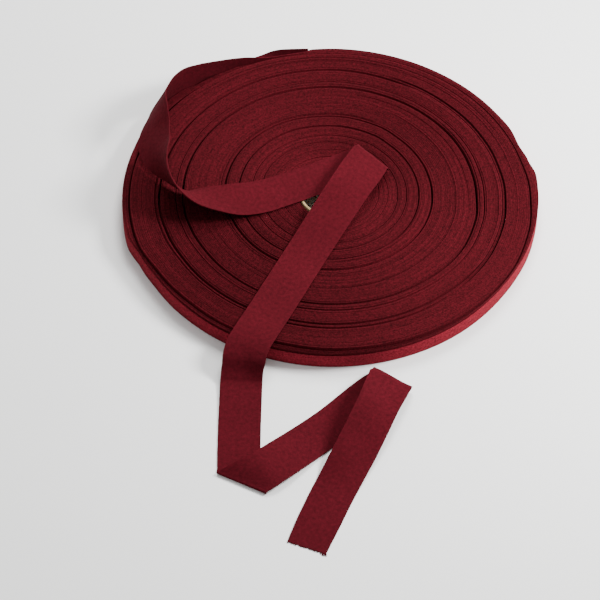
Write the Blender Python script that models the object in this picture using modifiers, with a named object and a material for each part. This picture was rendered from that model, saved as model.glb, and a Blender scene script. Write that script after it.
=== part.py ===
"""A roll of bias binding: folded cotton tape wound flat on a cardboard core, its loose end opened out.

Metres, +Z up. The roll lies on its face on the plane z = 0, the loose end reaches the same plane in
front of it, towards -Y, and the origin is under the middle of the whole part's bounding box.
The tables below are in millimetres from the axis of the roll.
"""
import math

import bpy
import bmesh
from mathutils import Vector

MM = 0.001

# Driving sizes, in millimetres
TAPE_WIDTH = 25.5
ROLL_HEIGHT = 14.0
SHEET = 1.0
CORE_BORE = 36.4
CORE_WALL = 1.5
CORE_HEIGHT = 13.4
CORE_EDGE = 0.3
PIECE_GAP = 0.3
STEPS = 96

CORE_RADIUS = CORE_BORE / 2 + CORE_WALL
ROLL_INNER = CORE_RADIUS + PIECE_GAP

# The main grooves of the face. Each row: radius, depth, width, and how far the turns outside it
# stand below the highest ones.
GROOVES = [
    {"radius": 30.5, "depth": 0.7, "width": 1.6, "sunk": 0.4},
    {"radius": 36.4, "depth": 0.7, "width": 1.6, "sunk": 0.3},
    {"radius": 42.7, "depth": 0.8, "width": 1.6, "sunk": 0.4},
    {"radius": 48.4, "depth": 0.9, "width": 1.6, "sunk": 0.3},
    {"radius": 56.3, "depth": 1.2, "width": 1.8, "sunk": 0.0},
    {"radius": 64.7, "depth": 1.6, "width": 2.2, "sunk": 0.3},
    {"radius": 91.7, "depth": 1.6, "width": 2.2, "sunk": 0.1},
    {"radius": 96.4, "depth": 0.8, "width": 1.8, "sunk": 0.2},
    {"radius": 107.1, "depth": 1.6, "width": 2.2, "sunk": 0.0},
    {"radius": 124.5, "depth": 3.0, "width": 1.8, "sunk": 1.2},
]
INNER_SUNK = 0.6

# The wall of the loose outer turns, from its rounded top edge down to the floor
WALL = [
    {"radius": 127.2, "height": 12.6},
    {"radius": 128.3, "height": 11.9},
    {"radius": 128.8, "height": 10.6},
    {"radius": 128.6, "height": 5.5},
    {"radius": 128.0, "height": 0.8},
    {"radius": 127.2, "height": 0.0},
]
RIM = 124.5
OUTER = 128.3
# Inside this radius the turns are true
TRUE_WITHIN = 24.0

# How far the turns stand out of true, by the angle from +X: at the rim groove and at the outer wall
LOBES = [
    {"angle": 0, "rim": -0.3, "outer": 1.7},
    {"angle": 7, "rim": -0.7, "outer": 2.1},
    {"angle": 13, "rim": -1.1, "outer": -0.1},
    {"angle": 19, "rim": -1.6, "outer": -1.6},
    {"angle": 26, "rim": -2.0, "outer": -0.5},
    {"angle": 34, "rim": -2.2, "outer": -1.1},
    {"angle": 60, "rim": -2.2, "outer": -1.2},
    {"angle": 88, "rim": -2.1, "outer": -1.5},
    {"angle": 98, "rim": -1.9, "outer": -4.0},
    {"angle": 120, "rim": -1.2, "outer": -2.6},
    {"angle": 131, "rim": -0.1, "outer": -1.0},
    {"angle": 138, "rim": 0.5, "outer": 1.2},
    {"angle": 144, "rim": 0.9, "outer": 2.6},
    {"angle": 165, "rim": 1.2, "outer": 1.9},
    {"angle": 180, "rim": 1.2, "outer": 2.0},
    {"angle": 195, "rim": 1.0, "outer": 2.5},
    {"angle": 204, "rim": 0.0, "outer": -0.4},
    {"angle": 212, "rim": -1.0, "outer": -1.2},
    {"angle": 225, "rim": -0.6, "outer": -0.7},
    {"angle": 240, "rim": -0.2, "outer": 0.0},
    {"angle": 270, "rim": 1.3, "outer": 0.9},
    {"angle": 300, "rim": 1.9, "outer": 0.8},
    {"angle": 325, "rim": 1.9, "outer": 0.0},
    {"angle": 345, "rim": 1.4, "outer": 0.9},
]

# The loose end from the outer turn to the face: the middle of the tape, which way its width points,
# how steep that is, and how far its outer half is still folded up over its inner half, in degrees.
LOOP = [
    {"x": -13.7, "y": 126.2, "z": 1.3, "heading": 96, "tilt": 90, "folded": 172},
    {"x": -27.7, "y": 123.7, "z": 1.6, "heading": 103, "tilt": 90, "folded": 164},
    {"x": -41.4, "y": 120.2, "z": 2.2, "heading": 109, "tilt": 90, "folded": 136},
    {"x": -54.9, "y": 115.6, "z": 4.6, "heading": 116, "tilt": 90, "folded": 88},
    {"x": -68.2, "y": 109.4, "z": 8.0, "heading": 123, "tilt": 91, "folded": 66},
    {"x": -80.2, "y": 101.8, "z": 13.0, "heading": 129, "tilt": 92, "folded": 32},
    {"x": -92.0, "y": 92.5, "z": 17.8, "heading": 137, "tilt": 92, "folded": 0},
    {"x": -101.6, "y": 83.2, "z": 20.8, "heading": 0, "tilt": 76, "folded": 0},
    {"x": -107.6, "y": 72.8, "z": 23.9, "heading": 10, "tilt": 65, "folded": 0},
    {"x": -110.3, "y": 62.0, "z": 26.0, "heading": 12, "tilt": 61, "folded": 0},
    {"x": -110.9, "y": 51.6, "z": 26.6, "heading": 3, "tilt": 50, "folded": 0},
    {"x": -111.0, "y": 42.0, "z": 25.6, "heading": 1, "tilt": 39, "folded": 0},
    {"x": -110.8, "y": 33.0, "z": 25.4, "heading": 8, "tilt": 38, "folded": 0},
    {"x": -108.8, "y": 24.0, "z": 26.4, "heading": 20, "tilt": 46, "folded": 0},
    {"x": -105.7, "y": 15.4, "z": 28.1, "heading": 33, "tilt": 62, "folded": 0},
    {"x": -102.3, "y": 7.0, "z": 29.2, "heading": 58, "tilt": 84, "folded": 0},
    {"x": -98.6, "y": -1.4, "z": 28.4, "heading": 227, "tilt": 75, "folded": 0},
    {"x": -92.8, "y": -8.4, "z": 26.0, "heading": 253, "tilt": 53, "folded": 0},
    {"x": -83.2, "y": -11.5, "z": 23.0, "heading": 267, "tilt": 29, "folded": 0},
    {"x": -70.9, "y": -12.1, "z": 21.2, "heading": 274, "tilt": 12, "folded": 0},
    {"x": -57.9, "y": -10.5, "z": 18.4, "heading": 282, "tilt": -3, "folded": 0},
    {"x": -44.3, "y": -6.1, "z": 16.3, "heading": 290, "tilt": -4, "folded": 0},
    {"x": -30.6, "y": 0.1, "z": 15.2, "heading": 294, "tilt": -1, "folded": 0},
    {"x": -16.4, "y": 6.6, "z": 15.1, "heading": 294, "tilt": 0, "folded": 0},
]

# The stretches that lie flat. A row with a rise is a fold: the tape comes in at z and goes back
# over itself that much higher. A heading is given where the width isn't square to the way it runs.
LAID = [
    {"name": "across the face", "x": 2.0, "y": 15.3, "z": 15.1},
    {"name": "first fold", "x": 25.2, "y": 26.2, "z": 15.2, "rise": 1.9},
    {"name": "over the first fold", "x": 12.4, "y": 2.4, "z": 17.1},
    {"name": "back on the face", "x": -0.6, "y": -22.6, "z": 16.4},
    {"name": "past the core", "x": -13.0, "y": -47.2, "z": 15.3},
    {"name": "front of the face", "x": -25.2, "y": -72.2, "z": 15.2},
    {"name": "before the rim", "x": -37.2, "y": -97.0, "z": 15.4},
    {"name": "on the rim", "x": -45.6, "y": -114.2, "z": 16.1, "heading": -25},
    {"name": "past the rim", "x": -49.6, "y": -122.2, "z": 15.4, "heading": -23},
    {"name": "start of the drop", "x": -51.4, "y": -126.2, "z": 12.6, "heading": -19},
    {"name": "drop", "x": -52.4, "y": -128.9, "z": 8.0, "heading": -14},
    {"name": "foot of the drop", "x": -53.3, "y": -132.0, "z": 3.4, "heading": -9},
    {"name": "reaches the floor", "x": -53.9, "y": -137.0, "z": 1.0, "heading": -4},
    {"name": "on the floor", "x": -54.2, "y": -145.0, "z": 0.5},
    {"name": "middle of the floor", "x": -54.8, "y": -180.0, "z": 0.5},
    {"name": "before the second fold", "x": -54.6, "y": -204.0, "z": 0.5},
    {"name": "second fold", "x": -53.0, "y": -216.9, "z": 0.6, "rise": 2.2},
    {"name": "over the second fold", "x": -37.6, "y": -205.6, "z": 3.8},
    {"name": "down to the floor", "x": -17.0, "y": -187.4, "z": 1.3},
    {"name": "lying on the floor", "x": 0.8, "y": -171.4, "z": 0.5},
    {"name": "before the third fold", "x": 22.4, "y": -151.6, "z": 1.2},
    {"name": "third fold", "x": 36.0, "y": -139.3, "z": 2.0, "rise": 2.6},
    {"name": "over the third fold", "x": 27.0, "y": -161.2, "z": 6.0},
    {"name": "down again", "x": 15.2, "y": -188.8, "z": 3.4},
    {"name": "back on the floor", "x": 2.4, "y": -216.6, "z": 0.7},
    {"name": "last stretch", "x": -8.6, "y": -242.4, "z": 0.5},
    {"name": "cut end", "x": -16.0, "y": -260.0, "z": 0.5},
]

# The tape is this much wider or narrower where it lies on the roll and on the floor
WIDTH_ON_FACE = 1.03
WIDTH_ON_FLOOR = 0.975

# The fold along the middle of the tape is a soft bend of this length, straight below the small angle
CREASE = 2.6
CREASE_PARTS = 4
OPEN_FLAT = 0.01
FOLD_PARTS = 5
LOOP_PARTS = 2


def material(name, colour, roughness):
    made = bpy.data.materials.new(name)
    made.use_nodes = True
    shader = made.node_tree.nodes["Principled BSDF"]
    shader.inputs["Base Color"].default_value = (*colour, 1.0)
    shader.inputs["Roughness"].default_value = roughness
    shader.inputs["Metallic"].default_value = 0.0
    return made


def clear_scene():
    for thing in list(bpy.data.objects):
        bpy.data.objects.remove(thing, do_unlink=True)


def finish(thing, parts, parent, look):
    """Puts a piece in the part's collection, under the frame, with its material."""
    parts.objects.link(thing)
    thing.parent = parent
    thing.data.materials.clear()
    thing.data.materials.append(look)
    thing.data.shade_smooth()
    thing.data.set_sharp_from_angle(angle=math.radians(35))


def turned(name, profile):
    """A closed profile of (radius, height) pairs turned about +Z, as a plain mesh object.

    The profile goes outwards over the top, down the outer side, and back along the bottom.
    """
    mesh = bpy.data.meshes.new(name + "_profile")
    points = [(radius * MM, 0.0, height * MM) for radius, height in profile]
    edges = [(i, (i + 1) % len(points)) for i in range(len(points))]
    mesh.from_pydata(points, edges, [])
    outline = bpy.data.objects.new(name + "_profile", mesh)
    bpy.context.scene.collection.objects.link(outline)
    screw = outline.modifiers.new("Screw", "SCREW")
    screw.steps = STEPS
    screw.render_steps = STEPS
    screw.use_merge_vertices = True
    screw.merge_threshold = 0.00001
    depsgraph = bpy.context.evaluated_depsgraph_get()
    solid = bpy.data.meshes.new_from_object(outline.evaluated_get(depsgraph))
    bpy.data.objects.remove(outline, do_unlink=True)
    solid.name = name
    return bpy.data.objects.new(name, solid)


def lobe(angle, column):
    """How far the turns stand out of true at an angle, smoothed between the rows of LOBES."""
    rows = LOBES + [dict(LOBES[0], angle=360)]
    degrees = math.degrees(angle) % 360
    for before, after in zip(rows, rows[1:]):
        if degrees <= after["angle"]:
            share = (degrees - before["angle"]) / (after["angle"] - before["angle"])
            share = share * share * (3 - 2 * share)
            return before[column] + (after[column] - before[column]) * share
    return rows[-1][column]


def roll_profile():
    """The section of the wound turns: grooved face, loose outer turns, leaning wall, flat underside."""
    points = [(ROLL_INNER, ROLL_HEIGHT - INNER_SUNK)]
    sunk = INNER_SUNK
    for groove in GROOVES:
        floor = ROLL_HEIGHT - max(sunk, groove["sunk"]) - groove["depth"]
        points.append((groove["radius"] - groove["width"] / 2, ROLL_HEIGHT - sunk))
        points.append((groove["radius"], floor))
        sunk = groove["sunk"]
        points.append((groove["radius"] + groove["width"] / 2, ROLL_HEIGHT - sunk))
    points += [(row["radius"], row["height"]) for row in WALL]
    points.append((ROLL_INNER, 0.0))
    return points


def make_core():
    inner = CORE_BORE / 2
    profile = [
        (inner, CORE_HEIGHT - CORE_EDGE),
        (inner + CORE_EDGE, CORE_HEIGHT),
        (CORE_RADIUS - CORE_EDGE, CORE_HEIGHT),
        (CORE_RADIUS, CORE_HEIGHT - CORE_EDGE),
        (CORE_RADIUS, 0.0),
        (inner, 0.0),
    ]
    return turned("core", profile)


def make_roll():
    """The wound turns, pushed out of true by the lobes: most at the outside, none near the core."""
    roll = turned("roll", roll_profile())
    for vertex in roll.data.vertices:
        flat = Vector((vertex.co.x, vertex.co.y))
        radius = flat.length / MM
        angle = math.atan2(flat.y, flat.x)
        if radius <= RIM:
            share = max(0.0, (radius - TRUE_WITHIN) / (RIM - TRUE_WITHIN))
            push = lobe(angle, "rim") * share * share
        else:
            share = min(1.0, (radius - RIM) / (OUTER - RIM))
            push = lobe(angle, "rim") * (1 - share) + lobe(angle, "outer") * share
        moved = flat.normalized() * (radius + push) * MM
        vertex.co.x = moved.x
        vertex.co.y = moved.y
    return roll


def spline(before, start, end, after, share):
    """Catmull-Rom interpolation between start and end, of numbers or of vectors."""
    square = share * share
    cube = square * share
    return (
        start * (2 - 5 * square + 3 * cube)
        + end * (share + 4 * square - 3 * cube)
        + before * (2 * square - cube - share)
        + after * (cube - square)
    ) * 0.5


def width_vector(heading, tilt):
    """The unit vector across the tape for a heading and a steepness in degrees."""
    turn = math.radians(heading)
    lean = math.radians(tilt)
    return Vector((math.cos(turn) * math.cos(lean), math.sin(turn) * math.cos(lean), math.sin(lean)))


def loop_rulings():
    """The lines across the tape along the loop: middle, width vector, half width, fold in radians."""
    middles = [Vector((row["x"], row["y"], row["z"])) for row in LOOP]
    widths = [width_vector(row["heading"], row["tilt"]) for row in LOOP]
    folds = [math.radians(row["folded"]) for row in LOOP]
    rulings = []
    last = len(LOOP) - 1
    for i in range(last):
        around = [max(i - 1, 0), i, i + 1, min(i + 2, last)]
        for step in range(LOOP_PARTS):
            share = step / LOOP_PARTS
            middle = spline(*[middles[k] for k in around], share)
            width = spline(*[widths[k] for k in around], share).normalized()
            fold = max(0.0, spline(*[folds[k] for k in around], share))
            rulings.append([middle, width, TAPE_WIDTH / 2, fold])
    rulings.append([middles[last], widths[last], TAPE_WIDTH / 2, 0.0])
    return rulings


def fold_rulings(row, arriving, leaving, half):
    """The lines across the tape as it turns back over itself, all along the line of the fold."""
    along = (arriving + leaving).normalized()
    if along.x < 0:
        along = -along
    outward = (arriving - along * arriving.dot(along)).normalized()
    reach = half / outward.dot(arriving)
    bend = row["rise"] / 2
    rulings = []
    for step in range(FOLD_PARTS + 1):
        turn = math.pi * step / FOLD_PARTS
        middle = Vector((row["x"], row["y"], row["z"] + bend * (1 - math.cos(turn))))
        rulings.append([middle + outward * bend * math.sin(turn), along, reach, 0.0])
    return rulings


def laid_rulings():
    """The lines across the tape along the stretches that lie on the face and on the floor."""
    start = LOOP[-1]
    rows = [{"x": start["x"], "y": start["y"], "z": start["z"]}] + LAID
    places = [Vector((row["x"], row["y"], 0.0)) for row in rows]
    rulings = []
    for i in range(1, len(rows)):
        row = rows[i]
        half = TAPE_WIDTH / 2 * (WIDTH_ON_FLOOR if row["z"] < ROLL_HEIGHT / 2 else WIDTH_ON_FACE)
        arriving = (places[i] - places[i - 1]).normalized()
        leaving = (places[min(i + 1, len(rows) - 1)] - places[i]).normalized()
        if "rise" in row:
            rulings += fold_rulings(row, arriving, leaving, half)
            continue
        if "heading" in row:
            width = width_vector(row["heading"], 0)
        else:
            near_fold = "rise" in rows[i - 1]
            way = arriving if i == len(rows) - 1 or not near_fold else leaving
            if not near_fold and i < len(rows) - 1 and "rise" not in rows[i + 1]:
                way = (arriving + leaving).normalized()
            width = Vector((-way.y, way.x, 0.0))
            if width.x < 0:
                width = -width
        rulings.append([Vector((row["x"], row["y"], row["z"])), width, half, 0.0])
    return rulings


def across(half, fold):
    """The section of the tape: (along the width, outwards) pairs from its outer edge to its inner one.

    The inner half runs straight along the width. The bend in the middle turns the outer half by the
    fold angle: at none the tape is flat, and at half a turn it lies closed against the inner half.
    """
    leaf = half - CREASE / 2
    points = []
    for part in range(CREASE_PARTS + 1):
        turn = fold * part / CREASE_PARTS
        length = CREASE * part / CREASE_PARTS
        if fold < OPEN_FLAT:
            points.append((-length, 0.0))
        else:
            bend = CREASE / fold
            points.append((-bend * math.sin(turn), bend * (1 - math.cos(turn))))
    middle = points[CREASE_PARTS // 2]
    tip = points[-1]
    outer = [(tip[0] - math.cos(fold) * leaf * k / 2, tip[1] + math.sin(fold) * leaf * k / 2) for k in (2, 1)]
    inner = [(leaf * k / 2, 0.0) for k in (1, 2)]
    section = outer + points[::-1] + inner
    return [(u - middle[0], v - middle[1]) for u, v in section]


def make_tail():
    """The loose end: one grid of points, one row of them for each line across the tape, made solid."""
    rulings = loop_rulings() + laid_rulings()
    columns = len(across(TAPE_WIDTH / 2, 0.0))
    mesh = bpy.data.meshes.new("tail")
    grid = bmesh.new()
    bmesh.ops.create_grid(grid, x_segments=columns - 1, y_segments=len(rulings) - 1, size=0.5)
    points = sorted(grid.verts, key=lambda v: (round(v.co.y, 5), round(v.co.x, 5)))
    for i, (middle, width, half, fold) in enumerate(rulings):
        ahead = rulings[min(i + 1, len(rulings) - 1)][0]
        behind = rulings[max(i - 1, 0)][0]
        outwards = (ahead - behind).cross(width)
        outwards = outwards.normalized() if outwards.length > 1e-6 else Vector((0, 0, 1))
        for j, (u, v) in enumerate(across(half, fold)):
            points[i * columns + j].co = (middle + width * u + outwards * v) * MM
    grid.to_mesh(mesh)
    grid.free()
    tail = bpy.data.objects.new("tail", mesh)
    shell = tail.modifiers.new("Solidify", "SOLIDIFY")
    shell.thickness = SHEET * MM
    shell.offset = 0.0
    shell.use_even_offset = False
    return tail


def centre_on_bounds(frame, pieces):
    """Moves the frame so that the middle of the part's bounding box is over the origin."""
    bpy.context.view_layer.update()
    depsgraph = bpy.context.evaluated_depsgraph_get()
    places = []
    for piece in pieces:
        shape = piece.evaluated_get(depsgraph)
        places += [shape.matrix_world @ vertex.co for vertex in shape.data.vertices]
    for axis in (0, 1):
        values = [place[axis] for place in places]
        frame.location[axis] = -(min(values) + max(values)) / 2
    frame.location[2] = -min(place[2] for place in places)


def main():
    clear_scene()
    parts = bpy.data.collections.new("bias_binding_roll")
    bpy.context.scene.collection.children.link(parts)
    frame = bpy.data.objects.new("roll_frame", None)
    parts.objects.link(frame)
    cotton = material("burgundy_cotton", (0.19, 0.011, 0.021), 0.9)
    cotton_tape = material("burgundy_cotton_tape", (0.24, 0.014, 0.026), 0.85)
    cardboard = material("kraft_cardboard", (0.52, 0.38, 0.2), 0.8)
    pieces = [make_core(), make_roll(), make_tail()]
    for piece, look in zip(pieces, (cardboard, cotton, cotton_tape)):
        finish(piece, parts, frame, look)
    centre_on_bounds(frame, pieces)
    bpy.context.view_layer.update()


main()
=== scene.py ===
"""The looks of a roll of bias binding: the wound turns, the cardboard tube and the loose end.

Metres, +Z up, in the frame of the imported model. The tables are in millimetres from the axis of the
roll, which is the middle of the core's box.
"""
import math

import bpy
import numpy
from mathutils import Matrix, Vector, noise


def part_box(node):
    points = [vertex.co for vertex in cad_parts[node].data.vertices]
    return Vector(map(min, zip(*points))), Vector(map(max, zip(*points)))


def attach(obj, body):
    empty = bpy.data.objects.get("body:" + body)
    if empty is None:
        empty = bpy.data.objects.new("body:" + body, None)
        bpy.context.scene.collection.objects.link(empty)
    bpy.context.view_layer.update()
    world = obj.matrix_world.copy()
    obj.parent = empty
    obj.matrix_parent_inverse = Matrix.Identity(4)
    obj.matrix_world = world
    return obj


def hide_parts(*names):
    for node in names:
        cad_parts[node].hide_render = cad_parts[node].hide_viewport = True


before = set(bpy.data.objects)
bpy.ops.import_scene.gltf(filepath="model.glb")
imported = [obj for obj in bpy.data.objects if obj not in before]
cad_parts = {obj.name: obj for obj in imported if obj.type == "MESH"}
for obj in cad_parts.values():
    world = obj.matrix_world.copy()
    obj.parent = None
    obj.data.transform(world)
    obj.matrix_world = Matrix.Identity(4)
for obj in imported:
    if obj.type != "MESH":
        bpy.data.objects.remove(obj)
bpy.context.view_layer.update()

MM = 0.001
MERGE = 0.000004

# Sizes of the solids that the looks are fitted to. The winding is true within TRUE_WITHIN, and its
# innermost turns stand lower than the highest ones by INNER_SUNK.
TAPE_WIDTH = 25.5
ROLL_HEIGHT = 14.0
CORE_BORE = 36.4
CORE_WALL = 1.5
CORE_HEIGHT = 13.4
ROLL_INNER = CORE_BORE / 2 + CORE_WALL + 0.3
RIM = 124.5
OUTER = 128.3
TRUE_WITHIN = 24.0
INNER_SUNK = 0.6

# The winding starts and the grooves step back one turn at this angle, under the loose end, over the
# last STEP_BACK of a turn
SEAM = 249.0
TURN_PITCH = 1.05
PLY_GAP = 0.05
STEP_BACK = 0.025

# How uneven the winding is: the heights of single turns, of runs of turns, and the turns' radii
UNEVEN_TURN = 0.13
UNEVEN_RUN = 0.2
UNEVEN_RADIUS = 0.12

# The turns on both sides of a groove stand this much lower
BESIDE_GROOVE = 0.25

# The feet of two turns overlap by this much where a groove is open above them
FOOT_LAP = 3 * PLY_GAP

# Where the winding opens into a groove. Each row: radius, how wide the gap is, and how far the turns
# outside it stand below the highest ones.
GROOVES = [
    {"radius": 30.5, "gap": 0.35, "sunk": 0.4},
    {"radius": 36.4, "gap": 0.35, "sunk": 0.3},
    {"radius": 42.7, "gap": 0.45, "sunk": 0.4},
    {"radius": 48.4, "gap": 0.5, "sunk": 0.3},
    {"radius": 56.3, "gap": 1.0, "sunk": 0.0},
    {"radius": 64.7, "gap": 1.4, "sunk": 0.3},
    {"radius": 91.7, "gap": 1.5, "sunk": 0.1},
    {"radius": 96.4, "gap": 0.7, "sunk": 0.2},
    {"radius": 107.1, "gap": 1.5, "sunk": 0.0},
    {"radius": 124.5, "gap": 1.1, "sunk": 1.3},
]
LAST_TURN_ENDS = 128.4

# The outermost turn stops here, where the loose end starts
LAST_TURN_STOPS = 97.0

# Turns that stand above or below their neighbours for part of the way round: the radius, the angles
# where that starts and ends, and how far the turn is lifted.
RIDGES = [
    {"radius": 57.3, "from": 268, "to": 352, "lift": 0.7},
    {"radius": 57.3, "from": 60, "to": 200, "lift": 0.25},
    {"radius": 67.6, "from": 150, "to": 350, "lift": 0.3},
    {"radius": 79.0, "from": 200, "to": 330, "lift": -0.25},
    {"radius": 97.5, "from": 180, "to": 380, "lift": 0.3},
    {"radius": 109.7, "from": 165, "to": 312, "lift": -0.9},
    {"radius": 115.4, "from": 280, "to": 430, "lift": -0.3},
    {"radius": 118.6, "from": 20, "to": 170, "lift": -0.35},
]

# A ridge or an opening comes and goes over this many degrees
SOFT_ENDS = 12.0

# How high the loose outer turns stand by the angle from +X: the outermost one, and those inside it
SLACK_TOPS = [
    {"angle": 0, "last": 12.3, "inner": 12.9},
    {"angle": 40, "last": 12.6, "inner": 13.0},
    {"angle": 96, "last": 13.1, "inner": 13.0},
    {"angle": 150, "last": 12.9, "inner": 12.7},
    {"angle": 210, "last": 12.2, "inner": 12.4},
    {"angle": 250, "last": 11.0, "inner": 12.6},
    {"angle": 285, "last": 10.5, "inner": 12.5},
    {"angle": 330, "last": 11.0, "inner": 12.6},
]

# How far the outer wall stands out of true, by the angle from +X
LOBES = [
    {"angle": 0, "outer": 1.7},
    {"angle": 7, "outer": 2.1},
    {"angle": 13, "outer": -0.1},
    {"angle": 19, "outer": -1.6},
    {"angle": 26, "outer": -0.5},
    {"angle": 34, "outer": -1.1},
    {"angle": 60, "outer": -1.2},
    {"angle": 88, "outer": -1.1},
    {"angle": 95, "outer": -1.3},
    {"angle": 98, "outer": -3.4},
    {"angle": 103, "outer": -4.6},
    {"angle": 113, "outer": -4.6},
    {"angle": 120, "outer": -2.6},
    {"angle": 131, "outer": -1.0},
    {"angle": 138, "outer": 2.4},
    {"angle": 144, "outer": 3.4},
    {"angle": 165, "outer": 1.9},
    {"angle": 180, "outer": 2.0},
    {"angle": 195, "outer": 2.5},
    {"angle": 204, "outer": -0.4},
    {"angle": 212, "outer": -1.2},
    {"angle": 225, "outer": -0.7},
    {"angle": 240, "outer": 0.0},
    {"angle": 270, "outer": 0.9},
    {"angle": 300, "outer": 0.8},
    {"angle": 325, "outer": 0.0},
    {"angle": 345, "outer": 0.9},
]

# How far the rings stand out of true, by the angle from +X, at the last four of these radii, which
# are grooves. At the first they are true.
RING_RADII = (TRUE_WITHIN, 64.7, 91.7, 107.1, RIM)
RING_NAMES = ("inner", "middle", "outer", "rim")
RINGS = [
    {"angle": 0, "inner": -1.2, "middle": -0.5, "outer": -0.4, "rim": 0.3},
    {"angle": 15, "inner": -1.6, "middle": -1.1, "outer": -1.6, "rim": -1.5},
    {"angle": 30, "inner": -1.7, "middle": -1.2, "outer": -2.3, "rim": -2.1},
    {"angle": 45, "inner": -1.5, "middle": -1.3, "outer": -2.7, "rim": -2.2},
    {"angle": 60, "inner": -0.2, "middle": -1.1, "outer": -2.2, "rim": -2.2},
    {"angle": 90, "inner": 0.8, "middle": -0.2, "outer": -0.1, "rim": -2.4},
    {"angle": 120, "inner": 2.2, "middle": 0.4, "outer": 0.3, "rim": -1.2},
    {"angle": 145, "inner": 2.2, "middle": 0.5, "outer": -0.1, "rim": 0.0},
    {"angle": 170, "inner": 1.4, "middle": 0.4, "outer": -0.6, "rim": 0.8},
    {"angle": 190, "inner": 0.4, "middle": -0.1, "outer": -0.3, "rim": 1.0},
    {"angle": 200, "inner": 0.0, "middle": -0.5, "outer": -0.9, "rim": 1.4},
    {"angle": 212, "inner": -0.2, "middle": -1.1, "outer": -1.6, "rim": -0.8},
    {"angle": 225, "inner": -0.2, "middle": -0.9, "outer": -1.4, "rim": -1.1},
    {"angle": 240, "inner": -0.2, "middle": -0.3, "outer": -1.1, "rim": 0.0},
    {"angle": 255, "inner": -0.4, "middle": -0.2, "outer": -0.3, "rim": 1.0},
    {"angle": 270, "inner": -0.7, "middle": -0.1, "outer": 0.1, "rim": 2.0},
    {"angle": 300, "inner": -0.6, "middle": 0.4, "outer": 0.6, "rim": 3.0},
    {"angle": 330, "inner": -0.6, "middle": 1.7, "outer": 1.2, "rim": 3.0},
    {"angle": 345, "inner": -0.8, "middle": 1.0, "outer": 0.7, "rim": 2.0},
]

# Where the winding opens or closes beside a turn for part of the way round: the radius, the angles
# where that starts and ends, and how much wider the gap on top is. Below zero it closes.
OPENINGS = [
    {"radius": 67.4, "from": 60, "to": 245, "open": 0.35},
    {"radius": 79.0, "from": 270, "to": 425, "open": 0.25},
    {"radius": 86.5, "from": 350, "to": 445, "open": 0.25},
    {"radius": 94.2, "from": 325, "to": 405, "open": 0.35},
    {"radius": 105.2, "from": 330, "to": 378, "open": 0.3},
    {"radius": 107.1, "from": 318, "to": 428, "open": -1.2},
    {"radius": 110.0, "from": 310, "to": 432, "open": 0.9},
    {"radius": 110.0, "from": 165, "to": 318, "open": 0.4},
    {"radius": 117.0, "from": 60, "to": 200, "open": 0.2},
]

# The section of one turn of folded tape: the fold below, the edges of its two halves on top.
# Across is a share of the thickness, off is in millimetres from the lowest or highest point.
TURN_SECTION = [
    {"end": "fold", "across": 0.0, "off": 0.45},
    {"end": "fold", "across": 0.5, "off": 0.0},
    {"end": "fold", "across": 1.0, "off": 0.45},
    {"end": "edges", "across": 1.0, "off": -0.2},
    {"end": "edges", "across": 0.76, "off": 0.0},
    {"end": "edges", "across": 0.57, "off": -0.05},
    {"end": "edges", "across": 0.5, "off": -0.2},
    {"end": "edges", "across": 0.43, "off": -0.05},
    {"end": "edges", "across": 0.24, "off": 0.0},
    {"end": "edges", "across": 0.0, "off": -0.2},
]

# The section is first spun this far off the axis, and the turns are then drawn out to their places
SPIN_RADIUS = 10.0

# The pieces that the winding is modelled in: the groove that each ends at, and steps round a turn
BANDS = [
    {"name": "turns_near_core", "ends": 64.7, "steps": 160},
    {"name": "turns_wide_band", "ends": 91.7, "steps": 220},
    {"name": "turns_narrow_band", "ends": 107.1, "steps": 256},
    {"name": "turns_outer_band", "ends": 124.5, "steps": 288},
    {"name": "turns_slack", "ends": LAST_TURN_ENDS, "steps": 360},
]

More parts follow.
